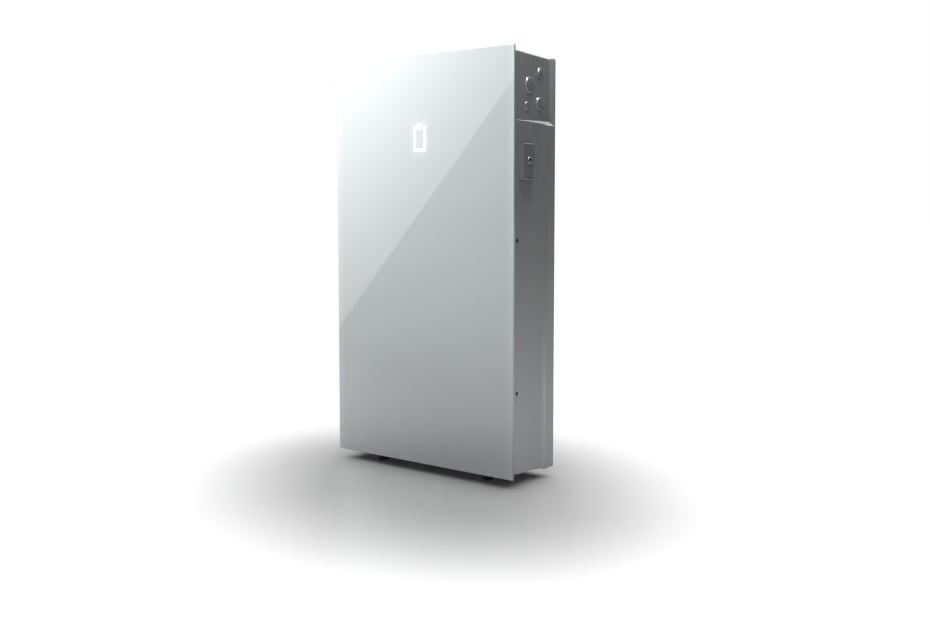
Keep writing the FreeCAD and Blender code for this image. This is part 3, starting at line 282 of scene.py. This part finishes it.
def glow_material():
    """The lit diffuser of the pictogram, not quite even."""
    s = Shader("lit_diffuser", (0.95, 0.98, 1.0), 0.0, 0.4)
    s.set("Emission Color", (0.93, 0.98, 1.0, 1.0))
    s.feed(s.ramp(s.noise(60.0), 1.1, 1.3), "Emission Strength")
    return s.material


def clear_plastic():
    """Part-clear acrylic of the light guide."""
    s = Shader("acrylic_guide", (0.85, 0.9, 0.92), 0.0, 0.08)
    s.feed(s.ramp(s.noise(80.0), 0.05, 0.15), "Roughness")
    s.set("Transmission Weight", 0.6)
    return s.material


SHELL_GREY = (0.056, 0.057, 0.0585)
STEEL = (0.55, 0.56, 0.57)
MATERIALS = {
    "plug": painted_metal("plug_paint", tinted(SHELL_GREY, 1.2), 0.14, 0.45, 1.0),
    "zinc": bare_metal("zinc_plate", STEEL, 0.32),
    "black": moulded_plastic("black_plastic", (0.025, 0.025, 0.027)),
    "gloss_black": moulded_plastic("button_cap", (0.012, 0.012, 0.013), 0.14, 300.0),
    "ring": painted_metal("ring_paint", tinted(SHELL_GREY, 1.8), 0.24, 0.8, 0.9),
    "rubber": rubber("dark_rubber", (0.03, 0.03, 0.031)),
    "cap": rubber("cap_rubber", (0.006, 0.006, 0.0062)),
}


def dress_cad_nodes():
    """Materials for the CAD nodes that are shown as they are."""
    # Painted light: the rear parts get a lighter copy of the shell grey for their brighter rim.
    rear_grey = tinted(SHELL_GREY, 1.1)
    give(glass_material(), "front_glass")
    give(glow_material(), "mark_lens")
    give(clear_plastic(), "light_guide")
    give(painted_metal("shell_paint", SHELL_GREY, 0.36, 0.3, 0.3), "enclosure_shell")
    give(painted_metal("rear_paint", rear_grey, 0.38, 0.3), "rear_chassis", "back_plate")
    give(painted_metal("switch_plate_paint", tinted(SHELL_GREY, 1.05), 0.4, 0.6), "switch_plate")
    give(MATERIALS["zinc"], "conduit_lock_nuts", "cover_clips", "locating_pins", "button_spring",
         "rail_posts", "board_standoffs", "board_shields")
    give(painted_metal("bracket_paint", (0.035, 0.035, 0.037), 0.5), "wall_bracket", "hang_rail",
         "battery_cradle_left", "battery_cradle_right")
    give(bare_metal("mill_aluminium", (0.68, 0.69, 0.70), 0.4), "backing_panel", "wiring_cover", "heat_sink")
    give(MATERIALS["black"], "cover_frame", "switch_body", "battery_contactor", "foot_stems",
         "module_spacers", "fan_frame_left", "fan_frame_right")
    give(MATERIALS["rubber"], "wiring_gasket", "chassis_gasket")
    modules = [name for name in nodes if name.startswith("battery_module")]
    give(painted_metal("module_case", (0.20, 0.23, 0.27), 0.4), *modules)
    give(bare_metal("copper", (0.75, 0.42, 0.25), 0.28), "busbars", "ground_bar", "power_inductors")
    give(circuit_board("green_board", (0.01, 0.10, 0.045)), "power_board", "control_board", "mark_led_board")
    give(moulded_plastic("capacitor_sleeve", (0.02, 0.03, 0.07), 0.3), "dc_capacitors")
    give(moulded_plastic("terminal_plastic", (0.20, 0.22, 0.20)), "terminal_block")


# ---------------------------------------------------------------- mesh helpers
def solids_of(name):
    """The lowest and highest corners of each separate solid of a CAD node, in a fixed order."""
    copy = bmesh.new()
    copy.from_mesh(nodes[name].data)
    bmesh.ops.remove_doubles(copy, verts=copy.verts, dist=1e-6)
    seen = set()
    boxes = []
    for start in copy.verts:
        if start in seen:
            continue
        seen.add(start)
        found = [start]
        for vertex in found:
            for edge in vertex.link_edges:
                other = edge.other_vert(vertex)
                if other not in seen:
                    seen.add(other)
                    found.append(other)
        low = Vector(min(vertex.co[i] for vertex in found) for i in range(3))
        high = Vector(max(vertex.co[i] for vertex in found) for i in range(3))
        boxes.append((low, high))
    copy.free()
    return sorted(boxes, key=lambda box: tuple(round(value, 4) for corner in box for value in corner))


def add_lathe(bm, rings, centre, axis, segments, closed=False):
    """Adds a surface of revolution. A ring is (radius, height); a radius may depend on the angle."""
    turn = Vector((0, 0, 1)).rotation_difference(Vector(axis)).to_matrix()
    loops = []
    for radius, height in rings:
        loop = []
        for i in range(segments):
            angle = math.tau * i / segments
            size = radius(angle) if callable(radius) else radius
            spot = Vector((size * math.cos(angle), size * math.sin(angle), height))
            loop.append(bm.verts.new(Vector(centre) + turn @ spot))
        loops.append(loop)
    followers = loops[1:] + loops[:1] if closed else loops[1:]
    for low, high in zip(loops, followers):
        for i in range(segments):
            j = (i + 1) % segments
            bm.faces.new((low[i], low[j], high[j], high[i]))
    if not closed:
        bm.faces.new(list(reversed(loops[0])))
        bm.faces.new(loops[-1])


def arc(centre_radius, centre_height, wide, tall, start, end, steps):
    """Rings along an elliptical arc; angles in degrees, 0 outwards and 90 up the axis."""
    angles = [math.radians(start + (end - start) * i / steps) for i in range(steps + 1)]
    return [(centre_radius + wide * math.cos(a), centre_height + tall * math.sin(a)) for a in angles]


def make_piece(name, bm, material, body, replaced, sharp=35):
    """Turns a bmesh into a piece that rides a body and stands for one CAD node."""
    bmesh.ops.recalc_face_normals(bm, faces=bm.faces)
    mesh = bpy.data.meshes.new(name)
    bm.to_mesh(mesh)
    bm.free()
    mesh.shade_smooth()
    mesh.set_sharp_from_angle(angle=math.radians(sharp))
    mesh.materials.append(MATERIALS[material])
    piece = bpy.data.objects.new(name, mesh)
    scene.collection.objects.link(piece)
    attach(piece, body)
    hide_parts(replaced)


# ---------------------------------------------------------------- conduit plugs and caps
def make_plugs():
    """Domed blanking plugs, each square to its wall, in the groove that the CAD hole leaves."""
    wall = mounts["conduit_entries_right"]
    point, outward = Vector(wall["pos_m"]), Vector(wall["axis"]).normalized()
    skirt_out, groove, skirt_back, skirt_front = 1.5 * MM, 0.9 * MM, -5.6 * MM, -2.6 * MM
    proud, rim_wide, neck_in = 1.9 * MM, 4.2 * MM, 3 * MM
    for node in [name for name in nodes if name.startswith("conduit_plug")]:
        bm = bmesh.new()
        for low, high in solids_of(node):
            middle = (low + high) / 2
            radius = (high.z - low.z) / 2 - skirt_out
            across = point.x - (middle.y - point.y) * outward.y / outward.x
            side = 1 if middle.x > 0 else -1
            cap = radius - groove
            rings = [(radius + skirt_out, skirt_back), (radius + skirt_out, skirt_front),
                     (radius - neck_in, skirt_front), (radius - neck_in, -1.5 * MM), (cap, -1.5 * MM)]
            rings += arc(cap - rim_wide, 0, rim_wide, proud - 0.3 * MM, 0, 90, 10)
            rings += [((cap - rim_wide) * 0.6, proud - 0.1 * MM), (0.5 * MM, proud)]
            add_lathe(bm, rings, (side * across, middle.y, middle.z), (side * outward.x, outward.y, 0), 72)
        make_piece(node.replace("conduit_plug", "domed_plug"), bm, "plug", "enclosure", node)


def make_release_caps():
    """Black caps with a dimple, over the holes that reach the spring clips."""
    bm = bmesh.new()
    for low, high in solids_of("release_caps"):
        middle = (low + high) / 2
        radius = (high.z - low.z) / 2
        side = 1 if middle.x > 0 else -1
        deep = high.x - low.x
        rounding = 1 * MM
        rings = [(radius, 0)] + arc(radius - rounding, deep - rounding, rounding, rounding, 0, 90, 4)
        rings += [(radius * 0.6, deep), (radius * 0.45, deep - 0.8 * MM), (0.3 * MM, deep - 1.1 * MM)]
        inner = low.x if side > 0 else high.x
        add_lathe(bm, rings, (inner, middle.y, middle.z), (side, 0, 0), 32)
    make_piece("dimpled_caps", bm, "cap", "enclosure", "release_caps")


def make_switch():
    """A rounded satin ring and a domed gloss button inside it."""
    low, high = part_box("switch_ring")
    middle = (low + high) / 2
    outer = (high.z - low.z) / 2
    button_low, button_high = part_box("power_button")
    button = (button_high.z - button_low.z) / 2
    clearance, rounding, chamfer = 0.3 * MM, 1.2 * MM, 0.6 * MM
    inner = button + clearance
    tall = high.x - low.x
    bm = bmesh.new()
    rings = [(inner, 0), (outer, 0)] + arc(outer - rounding, 0, rounding, tall, 0, 90, 6)
    rings += [(inner + chamfer, tall), (inner, tall - chamfer)]
    add_lathe(bm, rings, (low.x, middle.y, middle.z), (1, 0, 0), 72, closed=True)
    make_piece("rounded_ring", bm, "ring", "enclosure", "switch_ring")
    bm = bmesh.new()
    deep = button_high.x - button_low.x
    dome = 1.6 * MM
    rings = [(button, 0), (button, deep - dome)]
    rings += arc(0, deep - dome, button, dome, 12, 86, 10)
    add_lathe(bm, rings, (button_low.x, middle.y, middle.z), (1, 0, 0), 64)
    make_piece("domed_button", bm, "gloss_black", "button", "power_button")


# ---------------------------------------------------------------- screws, feet and vent
def make_screws():
    """Pan heads with a six-lobed drive, and a threaded shank where the CAD screw has one."""
    tall, rounding, drive_deep = 1.6 * MM, 1.2 * MM, 1 * MM
    crest, root, neck, levels, shortest_shank = 1.75 * MM, 1.45 * MM, 1.7 * MM, 10, 1 * MM
    for node, name, toward in (("back_plate_screws", "rear_pan_screws", 1),
                               ("wiring_cover_screws", "wiring_pan_screws", -1)):
        bm = bmesh.new()
        for low, high in solids_of(node):
            middle = (low + high) / 2
            head = (high.z - low.z) / 2
            shank = high.y - low.y - tall
            drive = lambda angle: head * (0.42 + 0.06 * math.cos(6 * angle))
            rings = []
            if shank > shortest_shank:
                rings = [(crest if i % 2 else root, shank * (i / levels - 1)) for i in range(levels)]
                rings.append((neck, 0))
            rings += [(head, 0)] + arc(head - rounding, tall - rounding, rounding, rounding, 0, 80, 5)
            rings += [(drive, tall), (drive, tall - drive_deep), (0.3 * MM, tall - 1.1 * MM)]
            seat = (high.y if toward > 0 else low.y) - toward * tall
            add_lathe(bm, rings, (middle.x, seat, middle.z), (0, toward, 0), 36)
        make_piece(name, bm, "zinc", "enclosure", node, sharp=30)


def make_feet():
    """Grooved rubber pads with a rounded lower rim."""
    for node in [name for name in nodes if name.startswith("foot_pad")]:
        low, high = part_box(node)
        middle = (low + high) / 2
        radius = (high.x - low.x) / 2
        tall = high.z - low.z
        rings = [(radius * 0.8, 0), (radius - 1 * MM, 0), (radius, 1 * MM)]
        for i in range(3):
            level = 2.4 * MM + i * 2 * MM
            groove = radius - 0.7 * MM
            rings += [(radius, level), (groove, level + 0.5 * MM), (groove, level + 0.9 * MM),
                      (radius, level + 1.4 * MM)]
        rings += [(radius, tall - 0.6 * MM), (radius - 0.6 * MM, tall)]
        bm = bmesh.new()
        add_lathe(bm, rings, (middle.x, middle.y, low.z), (0, 0, 1), 64)
        make_piece(node.replace("foot_pad", "ribbed_pad"), bm, "rubber", "enclosure", node)


def make_vent():
    """A breather plug whose cap has finger notches round its rim."""
    low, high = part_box("pressure_vent")
    middle = (low + high) / 2
    radius = (high.x - low.x) / 2
    notched = lambda angle: radius * (0.97 + 0.03 * math.cos(12 * angle))
    cap_tall, neck = 5 * MM, 6 * MM
    rings = [(radius * 0.35, 0.8 * MM), (radius * 0.45, 0), (radius * 0.85, 0), (notched, 0.8 * MM),
             (notched, cap_tall), (neck, cap_tall), (neck, high.z - low.z)]
    bm = bmesh.new()
    add_lathe(bm, rings, (middle.x, middle.y, low.z), (0, 0, 1), 72)
    make_piece("notched_vent", bm, "rubber", "enclosure", "pressure_vent")


# ---------------------------------------------------------------- fans
def rim_of(sheet):
    """The outer vertices of a grid, once round."""
    rows, columns = len(sheet) - 1, len(sheet[0]) - 1
    rim = [sheet[0][j] for j in range(columns)]
    rim += [sheet[i][columns] for i in range(rows)]
    rim += [sheet[rows][j] for j in range(columns, 0, -1)]
    return rim + [sheet[i][0] for i in range(rows, 0, -1)]


def add_blade(bm, centre, start_angle, hub, tip, deep, hand):
    """One swept and twisted blade: a thin closed shell between the hub and the tip."""
    rows, columns = 7, 6
    half_thick, most_camber = 0.7 * MM, 1.6 * MM
    root = hub * 0.96
    sheets = []
    for face in (-1, 1):
        sheet = []
        for i in range(rows + 1):
            share = i / rows
            radius = root + (tip - root) * share
            half_turn = math.radians(17 - 3 * share)
            sweep = math.radians(16) * share ** 1.5
            rise = deep * (0.5 - 0.12 * share)
            row = []
            for j in range(columns + 1):
                along = 2 * j / columns - 1
                angle = start_angle + hand * (sweep + half_turn * along)
                camber = (1 - along * along) * most_camber
                y = centre.y + rise * along + camber + face * half_thick * (1 - 0.7 * abs(along))
                row.append(bm.verts.new((centre.x + radius * math.cos(angle), y,
                                         centre.z + radius * math.sin(angle))))
            sheet.append(row)
        sheets.append(sheet)
    for sheet in sheets:
        for i in range(rows):
            for j in range(columns):
                bm.faces.new((sheet[i][j], sheet[i + 1][j], sheet[i + 1][j + 1], sheet[i][j + 1]))
    rim_back, rim_front = (rim_of(sheet) for sheet in sheets)
    for i, vertex in enumerate(rim_back):
        j = (i + 1) % len(rim_back)
        bm.faces.new((vertex, rim_back[j], rim_front[j], rim_front[i]))


def make_rotors():
    """Fan rotors of opposite hands: a rounded hub and nine blades."""
    hub, tip, blade_count, rounding = 19 * MM, 54 * MM, 9, 3 * MM
    for side, hand in (("left", -1), ("right", 1)):
        node = f"fan_rotor_{side}"
        low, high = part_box(node)
        centre = (low + high) / 2
        deep = (high.y - low.y) * 0.72
        bm = bmesh.new()
        start = low.y - centre.y
        end = high.y - centre.y
        rings = [(hub * 0.7, start), (hub, start + 2 * MM), (hub, end - rounding)]
        rings += arc(hub - rounding, end - rounding, rounding, rounding, 10, 90, 5)
        rings += [(hub * 0.5, end), (hub * 0.48, end - 0.4 * MM), (0.5 * MM, end - 0.4 * MM)]
        add_lathe(bm, rings, centre, (0, 1, 0), 60)
        for i in range(blade_count):
            add_blade(bm, centre, math.tau * i / blade_count, hub, tip, deep, hand)
        make_piece(f"curved_{node}", bm, "black", f"fan_{side}", node)


def make_guards():
    """Round wires: four rings and a cross over each fan."""
    bm = bmesh.new()
    wire, spacing = 0.95 * MM, 14 * MM
    for low, high in solids_of("fan_guards"):
        middle = (low + high) / 2
        reach = (high.x - low.x) / 2 - wire
        for i in range(4):
            rings = arc(reach - i * spacing, 0, wire, wire, 0, 330, 11)
            add_lathe(bm, rings, middle, (0, 1, 0), 72, closed=True)
        for axis in ((1, 0, 0), (0, 0, 1)):
            start = middle - Vector(axis) * reach
            add_lathe(bm, [(wire, 0), (wire, 2 * reach)], start, axis, 12)
    make_piece("round_wire_guards", bm, "zinc", "enclosure", "fan_guards")


# ---------------------------------------------------------------- studio
def stage_mesh(name, corners, material):
    """One flat face of the studio."""
    mesh = bpy.data.meshes.new(name)
    mesh.from_pydata(corners, [], [tuple(range(len(corners)))])
    mesh.materials.append(material)
    holder = bpy.data.objects.new(name, mesh)
    scene.collection.objects.link(holder)
    return holder


def make_floor():
    """A plain pale floor, wide enough to reach the horizon."""
    s = Shader("studio_white", (0.6, 0.6, 0.6), 0.0, 0.5)
    s.feed(s.ramp(s.noise(3.0), 0.34, 0.42), "Roughness")
    half = 40.0
    stage_mesh("studio_floor", [(-half, -half, 0), (half, -half, 0), (half, half, 0), (-half, half, 0)],
               s.material)


def area_light(name, place, target, width, height, power):
    """A softbox at a place, aimed at a target, that the camera doesn't see."""
    light = bpy.data.lights.new(name, "AREA")
    light.shape = "RECTANGLE"
    light.size = width
    light.size_y = height
    light.energy = power
    holder = bpy.data.objects.new(name, light)
    holder.location = place
    holder.rotation_euler = (Vector(target) - Vector(place)).to_track_quat("-Z", "Y").to_euler()
    holder.visible_camera = False
    scene.collection.objects.link(holder)
    return holder


def make_world():
    """A dim even studio, which the camera sees as plain white."""
    world = bpy.data.worlds.new("studio")
    world.use_nodes = True
    tree = world.node_tree
    dim = tree.nodes["Background"]
    dim.inputs["Color"].default_value = (1, 1, 1, 1)
    dim.inputs["Strength"].default_value = 0.03
    white = tree.nodes.new("ShaderNodeBackground")
    white.inputs["Color"].default_value = (1, 1, 1, 1)
    path = tree.nodes.new("ShaderNodeLightPath")
    choose = tree.nodes.new("ShaderNodeMixShader")
    tree.links.new(path.outputs["Is Camera Ray"], choose.inputs[0])
    tree.links.new(dim.outputs[0], choose.inputs[1])
    tree.links.new(white.outputs[0], choose.inputs[2])
    tree.links.new(choose.outputs[0], tree.nodes["World Output"].inputs["Surface"])
    scene.world = world


def far_light(name, around, height, spread, energy):
    """A distant light. Degrees: around from straight behind, height off the floor, spread of its disc."""
    sun = bpy.data.lights.new(name, "SUN")
    sun.energy = energy
    sun.angle = math.radians(spread)
    around, height = math.radians(around), math.radians(height)
    level = math.cos(height)
    toward = Vector((math.sin(around) * level, math.cos(around) * level, math.sin(height)))
    holder = bpy.data.objects.new(name, sun)
    holder.rotation_euler = (-toward).to_track_quat("-Z", "Y").to_euler()
    scene.collection.objects.link(holder)
    return holder


def linked(name, objects, state):
    """A group of objects that a light takes in or leaves out."""
    group = bpy.data.collections.new(name)
    for i, holder in enumerate(objects):
        group.objects.link(holder)
        group.collection_objects[i].light_linking.link_state = state
    return group


def make_flag():
    """A studio flag low over the floor, which only shades the floor's own light."""
    sides = 72
    middle = Vector((0.11, -0.16, 0.314))
    half_long, half_short, turn = 0.71, 0.52, Matrix.Rotation(math.radians(-33), 3, "Z")
    angles = [math.tau * i / sides for i in range(sides)]
    corners = [middle + turn @ Vector((half_long * math.cos(a), half_short * math.sin(a), 0)) for a in angles]
    s = Shader("flag_cloth", (0.02, 0.02, 0.02), 0.0, 0.9)
    flag = stage_mesh("studio_flag", corners, s.material)
    flag.visible_camera = False
    flag.visible_diffuse = False
    flag.visible_glossy = False
    flag.visible_transmission = False
    return flag


def make_lights():
    """An overhead light, its flag and a fill shape the floor's shadow; the others light the unit alone."""
    floor = bpy.data.objects["studio_floor"]
    glass = bpy.data.objects["front_glass"]
    flag = make_flag()
    overhead = far_light("overhead_light", 0, 89, 106, 7.1)
    overhead.light_linking.receiver_collection = linked("overhead_reach", [floor], "INCLUDE")
    fill = far_light("floor_fill", 0, 89, 20, 0.1)
    fill.light_linking.receiver_collection = linked("fill_reach", [floor], "INCLUDE")
    fill.light_linking.blocker_collection = linked("fill_blockers", [floor], "INCLUDE")
    rear = [far_light("rear_light", -20, 55, 40, 1.6), far_light("left_light", -75, 45, 50, 2.2),
            far_light("right_light", 62, 45, 50, 0.7)]
    front = area_light("front_softbox", (-0.4, -0.72, 1.62), (-0.1, 0, 0.95), 0.4, 0.3, 7.6)
    for light in rear + [front]:
        light.light_linking.receiver_collection = linked(f"{light.name}_reach", [floor], "EXCLUDE")
        light.light_linking.blocker_collection = linked(f"{light.name}_blockers", [flag], "EXCLUDE")
    side = [area_light("edge_light", (0.365, -0.02, 2.0), (0.3, 0, 1.0), 0.2, 0.25, 150),
            area_light("side_light", (0.47, -0.5, 1.15), (0.3, 0, 1.0), 0.15, 0.15, 3.0),
            area_light("low_light", (0.8, -0.04, 0.12), (0.3, 0.02, 0.14), 0.4, 0.3, 11)]
    dark = [holder for holder in scene.objects
            if holder.name.startswith(("ribbed_pad", "foot_", "dimpled_caps", "release_caps"))]
    for light in side:
        spared = [floor, glass] + dark
        light.light_linking.receiver_collection = linked(f"{light.name}_reach", spared, "EXCLUDE")
        light.light_linking.blocker_collection = linked(f"{light.name}_blockers", [flag, glass], "EXCLUDE")
    plugs = [holder for holder in scene.objects if holder.name.startswith("domed_plug")]
    glint = area_light("plug_light", (0.97, 0.61, 1.41), (0.29, 0.03, 0.98), 0.28, 0.28, 10)
    glint.light_linking.receiver_collection = linked("plug_reach", plugs, "INCLUDE")
    glint.visible_diffuse = False


def gloss_only(name, corners, material):
    """A panel of the studio that is only seen in gloss."""
    panel = stage_mesh(name, corners, material)
    panel.visible_camera = False
    panel.visible_diffuse = False
    panel.visible_shadow = False


def make_reflected_card():
    """A slanted panel before a pale wall, both seen in the glass. It brightens away from its lower edge."""
    depth = -2.0
    eye = scene.camera.location
    mirrored = Vector((eye.x, 2 * GLASS_LOW.y - eye.y, eye.z))
    share = (depth - mirrored.y) / (GLASS_LOW.y - mirrored.y)
    tall = GLASS_HIGH.z - GLASS_LOW.z

    def seen_at(x, height_share):
        """The place on the panel that the camera sees reflected at this place on the glass."""
        spot = Vector((x, GLASS_LOW.y, GLASS_LOW.z + height_share * tall))
        return mirrored + (spot - mirrored) * share

    left_share, right_share = 0.319, 0.925
    past_left, past_right, wide = 0.08, 0.3, 1.5
    low = seen_at(GLASS_LOW.x, left_share)
    high = seen_at(GLASS_HIGH.x, right_share)
    along = (high - low).normalized()
    up = Vector((-along.z, 0, along.x))
    low -= along * past_left
    high += along * past_right
    s = Shader("reflected_card", (0, 0, 0), 0.0, 1.0)
    s.set("Emission Color", (1, 1, 1, 1))
    offset = s.add("ShaderNodeVectorMath", operation="SUBTRACT")
    s.link(s.place, offset.inputs[0])
    offset.inputs[1].default_value = low
    distance = s.add("ShaderNodeVectorMath", operation="DOT_PRODUCT")
    s.link(offset.outputs[0], distance.inputs[0])
    distance.inputs[1].default_value = up
    s.feed(s.ramp(distance.outputs["Value"], 2.6, 5.8, 0.0, 1.0), "Emission Strength")
    gloss_only("reflected_card", [low, high, high + up * wide, low + up * wide], s.material)
    wall = Shader("reflected_wall", (0, 0, 0), 0.0, 1.0)
    wall.set("Emission Color", (1, 1, 1, 1)).set("Emission Strength", 0.85)
    behind = depth - 0.02
    foot, top, side = eye.z - 0.15, 9, 12
    corners = [(-side, behind, foot), (side, behind, foot), (side, behind, top), (-side, behind, top)]
    gloss_only("reflected_wall", corners, wall.material)


def make_camera():
    """A long view from the front right at mid height, tipped down a little."""
    camera = bpy.data.cameras.new("camera")
    holder = bpy.data.objects.new("camera", camera)
    camera.sensor_width = 36.0
    camera.lens = 39.852
    yaw = math.radians(37.056)
    pitch = math.radians(4.1725)
    holder.location = (1.7623, -2.2299, 0.7232)
    holder.rotation_euler = (math.radians(90) - pitch, 0, yaw)
    camera.shift_y = -0.03
    scene.collection.objects.link(holder)
    scene.camera = holder


make_camera()
dress_cad_nodes()
make_plugs()
make_release_caps()
make_switch()
make_screws()
make_feet()
make_vent()
make_rotors()
make_guards()
make_floor()
make_world()
make_lights()
make_reflected_card()
scene.view_settings.view_transform = "Standard"
